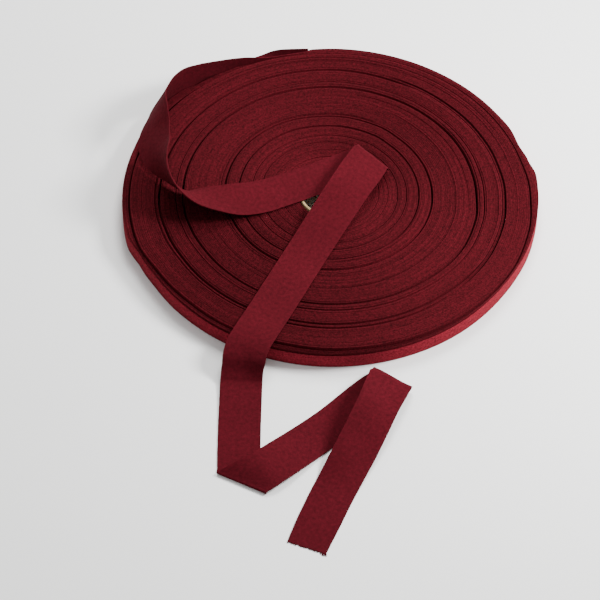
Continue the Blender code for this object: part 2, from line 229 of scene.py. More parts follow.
# The loose end from the outer turn to the face: the middle of the tape, which way its width points,
# how steep that is, and how far its outer half is still folded up over its inner half, in degrees
LOOP = [
    {"x": -13.3, "y": 124.9, "z": 0.6, "heading": 96, "tilt": 90, "folded": 172},
    {"x": -27.2, "y": 121.8, "z": 0.6, "heading": 103, "tilt": 90, "folded": 150},
    {"x": -40.9, "y": 118.3, "z": 1.2, "heading": 109, "tilt": 90, "folded": 104},
    {"x": -54.5, "y": 114.7, "z": 4.4, "heading": 116, "tilt": 90, "folded": 74},
    {"x": -68.0, "y": 109.2, "z": 8.0, "heading": 123, "tilt": 91, "folded": 52},
    {"x": -79.9, "y": 101.5, "z": 12.8, "heading": 129, "tilt": 92, "folded": 14},
    {"x": -92.0, "y": 92.5, "z": 17.8, "heading": 137, "tilt": 92, "folded": 0},
    {"x": -101.6, "y": 83.2, "z": 20.8, "heading": 0, "tilt": 76, "folded": 0},
    {"x": -107.6, "y": 72.8, "z": 23.9, "heading": 10, "tilt": 65, "folded": 0},
    {"x": -110.3, "y": 62.0, "z": 26.0, "heading": 12, "tilt": 61, "folded": 0},
    {"x": -110.9, "y": 51.6, "z": 26.6, "heading": 3, "tilt": 50, "folded": 0},
    {"x": -111.0, "y": 42.0, "z": 25.6, "heading": 1, "tilt": 39, "folded": 0},
    {"x": -110.8, "y": 33.0, "z": 25.4, "heading": 8, "tilt": 38, "folded": 0},
    {"x": -108.8, "y": 24.0, "z": 26.4, "heading": 20, "tilt": 46, "folded": 0},
    {"x": -105.7, "y": 15.4, "z": 28.1, "heading": 33, "tilt": 62, "folded": 0},
    {"x": -102.3, "y": 7.0, "z": 29.2, "heading": 58, "tilt": 84, "folded": 0},
    {"x": -98.6, "y": -1.4, "z": 28.4, "heading": 227, "tilt": 75, "folded": 0},
    {"x": -92.8, "y": -8.4, "z": 26.0, "heading": 253, "tilt": 53, "folded": 0},
    {"x": -83.2, "y": -11.5, "z": 23.0, "heading": 267, "tilt": 29, "folded": 0},
    {"x": -70.9, "y": -12.1, "z": 21.2, "heading": 274, "tilt": 12, "folded": 0},
    {"x": -57.9, "y": -10.5, "z": 18.4, "heading": 282, "tilt": -3, "folded": 0},
    {"x": -44.3, "y": -6.1, "z": 16.3, "heading": 290, "tilt": -4, "folded": 0},
    {"x": -30.6, "y": 0.1, "z": 15.2, "heading": 294, "tilt": -1, "folded": 0},
    {"x": -16.4, "y": 6.6, "z": 15.1, "heading": 294, "tilt": 0, "folded": 0},
]

# The stretches that lie flat. A row with a rise is a fold: the tape comes in at z and goes back
# over itself that much higher, along a line at that angle from +X. A heading is given where the width
# isn't square to the way it runs.
# The folds spring open: a lift raises a line, and brings it forward so that the outline stays where
# it is, and a lean raises its left edge, in degrees.
LAID = [
    {"name": "across the face", "x": 2.0, "y": 15.3, "z": 15.1},
    {"name": "first fold", "x": 25.2, "y": 26.2, "z": 15.2,
     "rise": 1.9, "line": -47, "lift": 3.2, "lean": 5},
    {"name": "over the first fold", "x": 12.4, "y": 2.4, "z": 17.1, "lift": 4.2, "lean": 8},
    {"name": "back on the face", "x": -0.6, "y": -22.6, "z": 16.4, "lift": 2.0, "lean": 3},
    {"name": "past the core", "x": -13.0, "y": -47.2, "z": 15.3},
    {"name": "front of the face", "x": -25.2, "y": -72.2, "z": 15.2},
    {"name": "before the rim", "x": -37.2, "y": -97.0, "z": 15.4},
    {"name": "on the rim", "x": -45.6, "y": -114.2, "z": 16.1, "heading": -25},
    {"name": "past the rim", "x": -49.6, "y": -122.2, "z": 15.4, "heading": -23},
    {"name": "start of the drop", "x": -51.4, "y": -126.2, "z": 12.6, "heading": -19, "lift": 0.6},
    {"name": "drop", "x": -52.4, "y": -128.9, "z": 8.0, "heading": -14, "lift": 3.0},
    {"name": "foot of the drop", "x": -53.3, "y": -132.0, "z": 3.4, "heading": -9, "lift": 3.8},
    {"name": "reaches the floor", "x": -53.9, "y": -137.0, "z": 1.0, "heading": -4, "lift": 2.8},
    {"name": "on the floor", "x": -54.2, "y": -145.0, "z": 0.5, "lift": 1.1},
    {"name": "middle of the floor", "x": -54.8, "y": -180.0, "z": 0.5},
    {"name": "before the second fold", "x": -54.6, "y": -204.0, "z": 0.5},
    {"name": "second fold", "x": -52.5, "y": -214.9, "z": 0.6,
     "rise": 1.3, "line": -27.0, "lift": 0.4},
    {"name": "over the second fold", "x": -37.6, "y": -205.6, "z": 3.6, "lift": 2.2, "lean": 9},
    {"name": "down to the floor", "x": -17.0, "y": -187.4, "z": 1.3, "lift": 1.0, "lean": 4},
    {"name": "lying on the floor", "x": 0.8, "y": -171.4, "z": 0.5},
    {"name": "before the third fold", "x": 21.8, "y": -151.2, "z": 1.2},
    {"name": "third fold", "x": 34.3, "y": -142.0, "z": 2.0,
     "rise": 2.6, "line": -33, "lift": 4.4, "lean": 11},
    {"name": "over the third fold", "x": 27.0, "y": -161.2, "z": 6.0, "lift": 4.4, "lean": 14},
    {"name": "down again", "x": 15.2, "y": -188.8, "z": 3.4, "lift": 2.6, "lean": 9},
    {"name": "back on the floor", "x": 2.4, "y": -216.6, "z": 0.7},
    {"name": "last stretch", "x": -8.4, "y": -242.4, "z": 0.5, "width": 0.99},
    {"name": "cut end", "x": -15.4, "y": -260.4, "z": 0.5, "width": 0.93},
]

# How wide the tape is drawn on the face and on the floor, as shares of its width
WIDTH_ON_FACE = 1.03
WIDTH_ON_FLOOR = 0.99

# The real tape is thinner than its solid, so it sits lower on the face and on the floor
TAPE_THICK = 0.5
SEAT_ON_FACE = 0.6
SEAT_ON_FLOOR = 0.25

# Above these heights the tape has left the face or the floor. It starts to leave SEAT_EASES lower.
CLEAR_OF_FACE = 18.0
CLEAR_OF_FLOOR = 3.0
SEAT_EASES = 1.6

# How wide the bend in the middle of the tape is where it's still folded. Below LEAST_BEND, in
# radians, the tape is flat.
BEND_WIDTH = 1.4
LEAST_BEND = 0.01

# A small crease crosses the stretch on the face this far along the loose end
CREASE_AT = 262.0
CREASE_DEPTH = 0.35
CREASE_WIDTH = 1.1

# How uneven the cloth is: faint where it lies, broad where it hangs free, and along its edges
FAINT_WAVE = 0.1
BROAD_WAVE = 0.8
UNEVEN_EDGE = 0.12
UNEVEN_CUT = 0.7

# Points across the tape, millimetres between the lines along it, and steps round a fold
COLUMNS = 29
LENGTH_STEP = 1.8
FOLD_STEPS = 10

# The raw cut frays: how many threads show, how thick they're drawn, how much of each is held in the
# cloth, and how much longer those in the tuft are
FRAYED_THREADS = 80
THREAD_THICK = 0.4
THREAD_HELD = 0.8
TUFT_LONGER = 0.9

# The weave of the tape and the ribs across its wound edges, in millimetres from thread to thread
THREAD_PITCH = 0.42
RIB_PITCH = 0.6

# How many times lighter the flat side of the outermost turn is drawn than the wound edges, a painted
# highlight for the light that falls on that wall, and how quickly the tone changes along the winding,
# per turn
WALL_PAINTED_HIGHLIGHT = 3.2
TONE_CHANGES = 2.3

# The camera looks along +Y and down, from the place that the rings and the loose end give. The
# distance and the aim are in millimetres from the roll's axis.
CAMERA_ELEVATION = 50.1
CAMERA_DISTANCE = 1700.0
CAMERA_AIM = (-19.15, -76.6)
FOCAL_LENGTH = 167.04
SENSOR = 36.0

# The lamps: places and sizes in metres from the roll's axis, power in watts
SOFTBOXES = [
    {"name": "key_softbox", "place": (0.54, 0.02, 0.46), "size": 0.2, "power": 10.5},
    {"name": "top_softbox", "place": (0.1, 0.6, 0.85), "size": 0.5, "power": 14.0},
]
SKY_STRENGTH = 0.6
FLOOR_SIZE = 12.0

core_low, core_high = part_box("core")
AXIS = Vector(((core_low[0] + core_high[0]) / 2, (core_low[1] + core_high[1]) / 2, 0.0))


def deselect():
    for thing in list(bpy.context.selected_objects):
        thing.select_set(False)


def start_edit(thing):
    """Makes a piece the only one selected, opens it in edit mode and selects all of it."""
    deselect()
    thing.select_set(True)
    bpy.context.view_layer.objects.active = thing
    bpy.ops.object.mode_set(mode="EDIT")
    bpy.ops.mesh.select_all(action="SELECT")


def end_edit():
    bpy.ops.object.mode_set(mode="OBJECT")


def apply_modifiers(thing):
    deselect()
    thing.select_set(True)
    bpy.context.view_layer.objects.active = thing
    for modifier in list(thing.modifiers):
        bpy.ops.object.modifier_apply(modifier=modifier.name)


def smooth(thing, angle):
    deselect()
    thing.select_set(True)
    bpy.context.view_layer.objects.active = thing
    bpy.ops.object.shade_smooth_by_angle(angle=math.radians(angle))


def get_points(thing):
    values = numpy.empty(len(thing.data.vertices) * 3)
    thing.data.vertices.foreach_get("co", values)
    return values.reshape(-1, 3)


def set_points(thing, points):
    thing.data.vertices.foreach_set("co", numpy.asarray(points, dtype=float).ravel())
    thing.data.update()


def set_uv(thing, corner_values):
    """Gives a piece a UV map in metres, from one pair of values for each corner of its faces."""
    layer = thing.data.uv_layers.active or thing.data.uv_layers.new(name="cloth")
    layer.data.foreach_set("uv", numpy.asarray(corner_values, dtype=float).ravel())


def linear(hex_colour):
    """An sRGB hex colour as linear red, green, blue and alpha."""
    channels = []
    for start in (0, 2, 4):
        value = int(hex_colour[start:start + 2], 16) / 255
        channels.append(value / 12.92 if value <= 0.04045 else ((value + 0.055) / 1.055) ** 2.4)
    return (*channels, 1.0)


def add_node(tree, kind, settings=None, inputs=None):
    """Adds a node, sets its properties, and sets or links its inputs."""
    node = tree.nodes.new(kind)
    for name, value in (settings or {}).items():
        setattr(node, name, value)
    for name, value in (inputs or {}).items():
        if isinstance(value, bpy.types.NodeSocket):
            tree.links.new(value, node.inputs[name])
        else:
            node.inputs[name].default_value = value
    return node


def new_material(name):
    """An empty node material with its shader, ready for colour and relief."""
    made = bpy.data.materials.new(name)
    made.use_nodes = True
    shader = made.node_tree.nodes["Principled BSDF"]
    return made, made.node_tree, shader


def eased(share):
    share = min(1.0, max(0.0, share))
    return share * share * (3 - 2 * share)


def round_table(table, degrees, column):
    """A column of a table by angle, smoothed between its rows and closed over the full circle."""
    rows = table + [dict(table[0], angle=360)]
    degrees = degrees % 360
    for before, after in zip(rows, rows[1:]):
        if degrees <= after["angle"]:
            share = eased((degrees - before["angle"]) / (after["angle"] - before["angle"]))
            return before[column] + (after[column] - before[column]) * share
    return rows[-1][column]


def pushed(radius, degrees, outermost):
    """The radius that a turn really has at an angle, out of true as the solid is.

    The loose turns outside the rim spread out to fill the width that the solid has there.
    """
    shifts = [0.0] + [round_table(RINGS, degrees, ring) for ring in RING_NAMES]
    if radius <= RIM:
        return radius + float(numpy.interp(radius, RING_RADII, shifts))
    share = (radius - RIM) / (outermost - RIM)
    return RIM + shifts[-1] * (1 - share) + (OUTER - RIM + round_table(LOBES, degrees, "outer")) * share


def partly(table, radius, degrees, column):
    """The sum of a column over the rows that hold for a turn at an angle, soft at their ends."""
    total = 0.0
    for row in table:
        inside = (degrees - row["from"]) % 360
        length = row["to"] - row["from"]
        if abs(radius - row["radius"]) < TURN_PITCH * 0.5 and inside < length:
            total += row[column] * eased(min(inside, length - inside) / SOFT_ENDS)
    return total


def wind_turns():
    """Every turn of the winding: its radius at its start, its pitch, the gap after it, its height."""
    turns = []
    start = ROLL_INNER
    sunk = INNER_SUNK
    for groove in GROOVES + [{"radius": LAST_TURN_ENDS + TURN_PITCH / 2, "gap": 0.0, "sunk": 0.0}]:
        stop = groove["radius"] - groove["gap"] / 2 - TURN_PITCH / 2
        count = max(1, round((stop - start) / TURN_PITCH))
        pitch = (stop - start) / count
        for turn in range(count):
            beside = turn == count - 1 or (turn == 0 and start > ROLL_INNER)
            turns.append({
                "radius": start + turn * pitch,
                "pitch": pitch,
                "gap": groove["gap"] if turn == count - 1 else 0.0,
                "top": ROLL_HEIGHT - sunk - (BESIDE_GROOVE * min(1.0, groove["gap"]) if beside else 0.0),
            })
        start = stop + groove["gap"]
        sunk = groove["sunk"]
    return turns


def turn_place(turns, number, share):
    """A turn at a share of the way round it.

    Gives its inner and outer radius on top, its outer radius below, and its height.
    """
    turn = turns[number]
    following = turns[min(number + 1, len(turns) - 1)]
    step = eased((share - (1 - STEP_BACK)) / STEP_BACK)
    degrees = SEAM + 360 * share
    inner = turn["radius"] + turn["pitch"] * share + turn["gap"] * step
    top = turn["top"] + (following["top"] - turn["top"]) * step
    along = number + share
    last = len(turns) - 1
    around = (degrees - SEAM) % 360 / 360
    outer_turn = last if around <= (LAST_TURN_STOPS - SEAM) % 360 / 360 else last - 1
    outermost = turns[outer_turn]["radius"] + turns[outer_turn]["pitch"] * (around + 1)
    if inner > RIM:
        own = number + (0 if share < 1 else 1)
        top = round_table(SLACK_TOPS, degrees, "last" if own >= outer_turn else "inner")
    ring = turn["radius"] + turn["pitch"] * share
    top += partly(RIDGES, ring, degrees, "lift")
    top += UNEVEN_TURN * noise.noise(Vector((along * 1.7, 3.1, 0.4)))
    top += UNEVEN_RUN * noise.noise(Vector((along * 0.37, 9.3, 2.2)))
    toward = Vector((math.cos(math.radians(degrees)), math.sin(math.radians(degrees)), 0.0))
    wobble = UNEVEN_RADIUS * noise.noise(toward * 2 + Vector((0.0, 0.0, inner * 0.08)))
    inner += wobble * min(1.0, (inner - ROLL_INNER) / 10)
    thick = turn["pitch"] - PLY_GAP
    beside = turn["radius"] + turn["pitch"] * 1.5 + turn["gap"] / 2
    opened = partly(OPENINGS, beside, degrees, "open")
    left = turn["gap"] * (1 - step)
    return (
        pushed(inner, degrees, outermost),
        pushed(inner + thick - max(opened, -left), degrees, outermost),
        pushed(inner + thick + left + (FOOT_LAP if left > 0 else 0.0), degrees, outermost),
        top,
    )


def make_turns(turns, band, first, last):
    """One band of the winding: a section for each turn, spun round and drawn out into a spiral."""
    count = last - first
    steps = band["steps"]
    sides = len(TURN_SECTION)
    bpy.ops.mesh.primitive_circle_add(vertices=sides, radius=1.0, location=(0, 0, 0))
    piece = bpy.context.active_object
    piece.name = band["name"]
    thick = TURN_PITCH - PLY_GAP
    spaced = [
        (SPIN_RADIUS + row["across"] * thick, 0.0,
         row["off"] + (ROLL_HEIGHT if row["end"] == "edges" else 0.0))
        for row in TURN_SECTION
    ]
    set_points(piece, spaced)
    repeat = piece.modifiers.new("turns", "ARRAY")
    repeat.use_relative_offset = False
    repeat.use_constant_offset = True
    repeat.constant_offset_displace = (TURN_PITCH, 0.0, 0.0)
    repeat.count = count
    apply_modifiers(piece)
    start_edit(piece)
    short_of_full = 0.001
    bpy.ops.mesh.spin(steps=steps, angle=2 * math.pi - short_of_full, center=(0, 0, 0), axis=(0, 0, 1))
    end_edit()

    points = get_points(piece)
    radii = numpy.hypot(points[:, 0], points[:, 1]) - SPIN_RADIUS
    angles = numpy.mod(numpy.arctan2(points[:, 1], points[:, 0]) + 0.0001, 2 * math.pi)
    step_of = numpy.rint(angles / (2 * math.pi - short_of_full) * steps).astype(int)
    turn_of = numpy.floor((radii + 0.01) / TURN_PITCH).astype(int)
    across = (radii - turn_of * TURN_PITCH) / thick
    section = numpy.array([[row["across"], z] for row, (_, _, z) in zip(TURN_SECTION, spaced)])
    spots = numpy.stack([across, points[:, 2]], axis=1)
    side_of = numpy.argmin(((spots[:, None, :] - section[None, :, :]) ** 2).sum(axis=2), axis=1)

    table = numpy.zeros((count, steps + 1, 4))
    for turn in range(count):
        for step in range(steps + 1):
            if step == steps and first + turn + 1 < len(turns):
                table[turn, step] = turn_place(turns, first + turn + 1, 0.0)
            else:
                table[turn, step] = turn_place(turns, first + turn, step / steps)
    inner, outer, outer_below, top = (table[turn_of, step_of, column] for column in range(4))
    shares = numpy.array([row["across"] for row in TURN_SECTION])[side_of]
    offs = numpy.array([row["off"] for row in TURN_SECTION])[side_of]
    on_top = numpy.array([row["end"] == "edges" for row in TURN_SECTION])[side_of]
    radius = inner + shares * (numpy.where(on_top, outer, outer_below) - inner)
    turned_to = numpy.radians(SEAM) + 2 * math.pi * step_of / steps
    placed = numpy.stack([
        radius * numpy.cos(turned_to) * MM + AXIS.x,
        radius * numpy.sin(turned_to) * MM + AXIS.y,
        numpy.where(on_top, top + offs, offs) * MM,
    ], axis=1)
    set_points(piece, placed)

    tone = piece.data.attributes.new("turn_tone", "FLOAT", "POINT")
    along = turn_of + step_of / steps
    tones = [noise.noise(Vector((value * TONE_CHANGES + first, 5.7, 1.3))) for value in along]
    tone.data.foreach_set("value", tones)
    stops = round((LAST_TURN_STOPS - SEAM) % 360 / 360 * steps)
    # The flat outer side of the outermost turn is marked here so that the material paints a highlight on
    # it
    outermost = first + turn_of >= len(turns) - numpy.where(step_of <= stops, 1, 2)
    wall = piece.data.attributes.new("wall_highlight_mask", "FLOAT", "POINT")
    wall.data.foreach_set("value", numpy.where(outermost & (shares > 0.9), 1.0, 0.0))
    length = 2 * math.pi * (turns[first]["radius"] * along + TURN_PITCH * along * along / 2) * MM
    corners = numpy.empty(len(piece.data.loops), dtype=int)
    piece.data.loops.foreach_get("vertex_index", corners)
    round_section = numpy.where(on_top, ROLL_HEIGHT, 0.0) + shares * thick
    set_uv(piece, numpy.stack([length[corners], (round_section * MM)[corners]], axis=1))

    if last == len(turns):
        beyond = (turn_of == count - 1) & (step_of > stops)
        start_edit(piece)
        bpy.ops.mesh.select_all(action="DESELECT")
        end_edit()
        piece.data.vertices.foreach_set("select", beyond)
        bpy.ops.object.mode_set(mode="EDIT")
        bpy.ops.mesh.delete(type="VERT")
        end_edit()
    start_edit(piece)
    bpy.ops.mesh.remove_doubles(threshold=MERGE)
    bpy.ops.mesh.fill_holes(sides=sides)
    bpy.ops.mesh.normals_make_consistent(inside=False)
    end_edit()
    smooth(piece, 60)
    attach(piece, "root")
    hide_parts("roll")
    return piece


def make_winding(look):
    turns = wind_turns()
    first = 0
    for band in BANDS:
        last = sum(1 for turn in turns if turn["radius"] < band["ends"] - 0.6)
        piece = make_turns(turns, band, first, last)
        piece.data.materials.clear()
        piece.data.materials.append(look)
        first = last


def make_tube(look):
    """The cardboard tube: a turned wall with rounded, slightly worn ends."""
    inner = CORE_BORE / 2
    outer = inner + CORE_WALL
    wall = [
        (inner, 0.25),
        (inner + 0.25, 0.0),
        (outer - 0.25, 0.0),
        (outer, 0.25),
        (outer, CORE_HEIGHT - 0.35),
        (outer - 0.12, CORE_HEIGHT - 0.1),
        (outer - 0.4, CORE_HEIGHT),
        (inner + 0.4, CORE_HEIGHT),
        (inner + 0.12, CORE_HEIGHT - 0.1),
        (inner, CORE_HEIGHT - 0.35),
    ]
    bpy.ops.mesh.primitive_circle_add(vertices=len(wall), radius=1.0, location=(0, 0, 0))
    tube = bpy.context.active_object
    tube.name = "cardboard_tube"
    set_points(tube, [(radius * MM, 0.0, height * MM) for radius, height in wall])
    start_edit(tube)
    bpy.ops.mesh.spin(steps=160, angle=2 * math.pi, center=(0, 0, 0), axis=(0, 0, 1))
    bpy.ops.mesh.select_all(action="SELECT")
    bpy.ops.mesh.remove_doubles(threshold=MERGE)
    bpy.ops.mesh.normals_make_consistent(inside=False)
    end_edit()
    points = get_points(tube)
    points[:, 0] += AXIS.x
    points[:, 1] += AXIS.y
    set_points(tube, points)
    smooth(tube, 50)
    tube.data.materials.clear()
    tube.data.materials.append(look)
    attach(tube, "root")
    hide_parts("core")
    return tube


def spline(before, start, end, after, share):
    """Catmull-Rom interpolation between start and end, of numbers or of vectors."""
    square = share * share
    cube = square * share
    return (
        start * (2 - 5 * square + 3 * cube)
        + end * (share + 4 * square - 3 * cube)
        + before * (2 * square - cube - share)
        + after * (cube - square)
    ) * 0.5


def width_vector(heading, tilt):
    turn = math.radians(heading)
    lean = math.radians(tilt)
    return Vector((math.cos(turn) * math.cos(lean), math.sin(turn) * math.cos(lean), math.sin(lean)))


def seated(height):
    """The height of the thin tape's middle, where the solid's middle has the given height."""
    if height > ROLL_HEIGHT:
        lying = min(1.0, max(0.0, (CLEAR_OF_FACE - height) / SEAT_EASES))
        return height - SEAT_ON_FACE * lying
    lying = min(1.0, max(0.0, (CLEAR_OF_FLOOR - height) / SEAT_EASES))
    return height - SEAT_ON_FLOOR * lying


def lifting(height):
    """A move straight towards the camera that raises a point by a height."""
    return Vector((0.0, -height / math.tan(math.radians(CAMERA_ELEVATION)), height))


def leaning(width, degrees):
    """A level line across the tape, tipped so that its left end is the higher one."""
    return width + lifting(-math.sin(math.radians(degrees)))


def fold_lines(row, arriving, half):
    """The lines across the tape as it turns back over itself, all along the line of the fold."""
    line = math.radians(row["line"])
    along = Vector((math.cos(line), math.sin(line), 0.0))
    outward = (arriving - along * arriving.dot(along)).normalized()
    reach = half / outward.dot(arriving)
    low = Vector((row["x"], row["y"], seated(row["z"])))
    lift = row.get("lift", 0.0)
    bend = (row["rise"] + lift) / 2
    lines = []
    for step in range(FOLD_STEPS + 1):
        turn = math.pi * step / FOLD_STEPS
        share = (1 - math.cos(turn)) / 2
        middle = low + Vector((0.0, 0.0, row["rise"])) * share + lifting(lift * share)
        line = leaning(along, row.get("lean", 0.0) * share)
        lines.append([middle + outward * bend * math.sin(turn), line, reach, 0.0])
    return lines


def tape_stretches():
    """The lines across the tape in order: stretches to be smoothed, and folds between them."""
    first = [
        [
            Vector((row["x"], row["y"], seated(row["z"]))),
            width_vector(row["heading"], row["tilt"]),
            TAPE_WIDTH / 2,
            math.radians(row["folded"]),
        ]
        for row in LOOP
    ]
    rows = [{"x": LOOP[-1]["x"], "y": LOOP[-1]["y"], "z": LOOP[-1]["z"]}] + LAID
    places = [Vector((row["x"], row["y"], 0.0)) for row in rows]
    stretches = [first]
    folds = []
    for i in range(1, len(rows)):
        row = rows[i]
        half = TAPE_WIDTH / 2 * (WIDTH_ON_FLOOR if row["z"] < ROLL_HEIGHT / 2 else WIDTH_ON_FACE)
        half *= row.get("width", 1.0)
        arriving = (places[i] - places[i - 1]).normalized()
        leaving = (places[min(i + 1, len(rows) - 1)] - places[i]).normalized()
        if "rise" in row:
            lines = fold_lines(row, arriving, half)
            stretches[-1].append(lines[0])
            folds.append(lines)
            stretches.append([lines[-1]])
            continue
        if "heading" in row:
            width = width_vector(row["heading"], 0)
        else:
            near_fold = "rise" in rows[i - 1]
            way = arriving if i == len(rows) - 1 or not near_fold else leaving
            if not near_fold and i < len(rows) - 1 and "rise" not in rows[i + 1]:
                way = (arriving + leaving).normalized()
            width = Vector((-way.y, way.x, 0.0))
            if width.x < 0:
                width = -width
        middle = Vector((row["x"], row["y"], seated(row["z"]))) + lifting(row.get("lift", 0.0))
        stretches[-1].append([middle, leaning(width, row.get("lean", 0.0)), half, 0.0])
    return stretches, folds


def smooth_stretch(lines):
    """A stretch with lines added between the given ones, about every LENGTH_STEP."""
    made = []
    last = len(lines) - 1
    for i in range(last):
        around = [max(i - 1, 0), i, i + 1, min(i + 2, last)]
        count = max(2, round((lines[i + 1][0] - lines[i][0]).length / LENGTH_STEP))
        for step in range(count):
            share = step / count
            middle = spline(*[lines[k][0] for k in around], share)
            width = spline(*[lines[k][1] for k in around], share).normalized()
            half = lines[i][2] + (lines[i + 1][2] - lines[i][2]) * share
            fold = max(0.0, spline(*[lines[k][3] for k in around], share))
            made.append([middle, width, half, fold])
    made.append(lines[last])
    return made


def tape_lines():
    stretches, folds = tape_stretches()
    lines = smooth_stretch(stretches[0])
    for fold, stretch in zip(folds, stretches[1:]):
        lines += fold[1:-1]
        lines += smooth_stretch(stretch)
    return lines


def section_point(place, fold):
    """Where a point of the tape lies, (along the width, outwards), place being 0 in the middle.

    The inner half runs straight along the width. The bend in the middle turns the outer half by the
    fold angle: at none the tape is flat, and at half a turn it lies closed against the inner half.
    """
    def bent(at):
        if at >= BEND_WIDTH / 2 or fold < LEAST_BEND:
            return at - BEND_WIDTH / 2, 0.0
        bend = BEND_WIDTH / fold
        turn = fold * min(1.0, (BEND_WIDTH / 2 - at) / BEND_WIDTH)
        beyond = max(0.0, -BEND_WIDTH / 2 - at)
        return (-bend * math.sin(turn) - math.cos(turn) * beyond,
                bend * (1 - math.cos(turn)) + math.sin(turn) * beyond)
    middle = bent(0.0)
    spot = bent(place)
    return spot[0] - middle[0], spot[1] - middle[1]


def waviness(across, along, loose):
    """How far the cloth stands off its even shape: faint where it lies, broad where it's free."""
    faint = FAINT_WAVE * noise.noise(Vector((across / 9, along / 13, 0.7)))
    broad = BROAD_WAVE * noise.noise(Vector((across / 16, along / 24, 4.1)))
    crease = CREASE_DEPTH * math.exp(-((along - CREASE_AT) / CREASE_WIDTH) ** 2)
    return faint + broad * loose - crease * eased((-across + 6) / 8)


def make_loose_end(look):
    """The loose end: one sheet, from where it leaves the outer turn to its raw cut."""
    lines = tape_lines()
    bpy.ops.mesh.primitive_grid_add(x_subdivisions=COLUMNS - 1, y_subdivisions=len(lines) - 1, size=1.0)
    tape = bpy.context.active_object
    tape.name = "loose_end"
    order = sorted(tape.data.vertices, key=lambda v: (round(v.co.y, 5), round(v.co.x, 5)))
    along = 0.0
    place_of = {}
    for i, (middle, width, half, fold) in enumerate(lines):
        ahead = lines[min(i + 1, len(lines) - 1)][0]
        behind = lines[max(i - 1, 0)][0]
        if i:
            along += (middle - behind).length
        outwards = (ahead - behind).cross(width)
        outwards = outwards.normalized() if outwards.length > 1e-6 else Vector((0, 0, 1))
        loose = eased((middle.z - 16.5) / 8) if middle.z > ROLL_HEIGHT else eased((middle.z - 1.0) / 5)
        for j in range(COLUMNS):
            across = half * (2 * j / (COLUMNS - 1) - 1)
            u, v = section_point(-across, fold)
            v += waviness(across, along, loose)
            ragged = noise.noise(Vector((along / 5, math.copysign(7.0, across), 0.0)))
            u += UNEVEN_EDGE * ragged * abs(across / half) ** 6
            point = middle + width * u + outwards * v
            if i == len(lines) - 1:
                ragged = noise.noise(Vector((across / 2.2, 3.3, 8.1)))
                point += (middle - behind).normalized() * UNEVEN_CUT * ragged
            point.z = max(point.z, TAPE_THICK / 2)
            vertex = order[i * COLUMNS + j]
            vertex.co = point * MM + AXIS
            place_of[vertex.index] = (across * MM, along * MM)
    set_uv(tape, [place_of[loop.vertex_index] for loop in tape.data.loops])
    shell = tape.modifiers.new("thickness", "SOLIDIFY")
    shell.thickness = TAPE_THICK * MM
    shell.offset = 0.0
    apply_modifiers(tape)
    smooth(tape, 60)
    tape.data.materials.clear()
    tape.data.materials.append(look)
    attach(tape, "root")
    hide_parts("tail")
    fraying = make_fraying(look, lines[-1], lines[-2])
    return tape


def make_fraying(look, end, behind):
    """The threads that stick out of the raw cut, most of them in a tuft at its right end."""
    middle, width, half, _ = end
    ahead = (middle - behind[0]).normalized()
    curve = bpy.data.curves.new("frayed_threads", "CURVE")
    curve.dimensions = "3D"
    curve.bevel_depth = THREAD_THICK / 2 * MM
    curve.bevel_resolution = 1
    for number in range(FRAYED_THREADS):
        chance = [
            abs(noise.cell(Vector((number * 1.37 + 0.5, seed * 3.1 + 0.5, 0.5))))
            for seed in range(5)
        ]
        share = 1 - 2 * min(1.0, chance[0]) ** 1.5
        length = 0.2 + 0.9 * chance[1] + (TUFT_LONGER if share > 0.75 else 0.0)
        root = middle + width * half * share - ahead * THREAD_HELD
        way = (ahead + width * (0.9 * chance[2] - 0.45 + 0.3 * share)).normalized()
        bend = width * (chance[3] - 0.5) * length * 0.7
        rise = Vector((0.0, 0.0, 0.5 * chance[4]))
        thread = curve.splines.new("POLY")
        thread.points.add(4)
        for step, point in enumerate(thread.points):
            part = step / 4
            reach = way * (length + THREAD_HELD) * part
            spot = root + reach + bend * part * part + rise * part * (1 - part) * 4
            spot.z = max(spot.z, THREAD_THICK / 2)
            point.co = (*(spot * MM + AXIS), 1.0)
            point.radius = 1.0 - 0.6 * part
    loose_threads = bpy.data.objects.new("frayed_threads", curve)
    bpy.context.collection.objects.link(loose_threads)
    deselect()
    loose_threads.select_set(True)
    bpy.context.view_layer.objects.active = loose_threads
    bpy.ops.object.convert(target="MESH")
    piece = bpy.context.active_object
    piece.data.materials.clear()
    piece.data.materials.append(look)
    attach(piece, "root")
    return piece


def toned(tree, factor, stops):
    """A colour ramp over a factor, from rows of position and sRGB hex colour."""
    ramp = add_node(tree, "ShaderNodeValToRGB", inputs={"Fac": factor})
    elements = ramp.color_ramp.elements
    while len(elements) < len(stops):
        elements.new(0.5)
    for element, (position, colour) in zip(elements, stops):
        element.position = position
        element.color = linear(colour)
    return ramp.outputs["Color"]


def shaded(tree, colour, factor, low, high):
    """A colour made darker and lighter by a factor between 0 and 1."""
    spread = add_node(tree, "ShaderNodeMapRange", inputs={
        "Value": factor, "To Min": low, "To Max": high})
    mixed = add_node(tree, "ShaderNodeVectorMath", {"operation": "SCALE"}, {0: colour})
    tree.links.new(spread.outputs["Result"], mixed.inputs["Scale"])
    return mixed.outputs["Vector"]


def speckle(tree, place, millimetres, detail=2.0, roughness=0.6):
    """Soft noise whose grains are about so many millimetres across."""
    grain = add_node(tree, "ShaderNodeTexNoise", inputs={
        "Vector": place, "Scale": 1 / (millimetres * MM), "Detail": detail, "Roughness": roughness})
    return grain.outputs["Fac"]


def threads(tree, place, turned, pitch, uneven):
    """Rows of thread across a UV in metres, turned by so many degrees, their pitch in millimetres."""
    laid = add_node(tree, "ShaderNodeMapping", inputs={"Vector": place})
    laid.inputs["Rotation"].default_value = (0.0, 0.0, math.radians(turned))
    rows = add_node(tree, "ShaderNodeTexWave", {"wave_type": "BANDS", "bands_direction": "X"}, {
        "Vector": laid.outputs["Vector"], "Scale": math.pi / 10 / (pitch * MM), "Distortion": uneven,
        "Detail": 2.0, "Detail Scale": 0.6})
    return rows.outputs["Fac"]


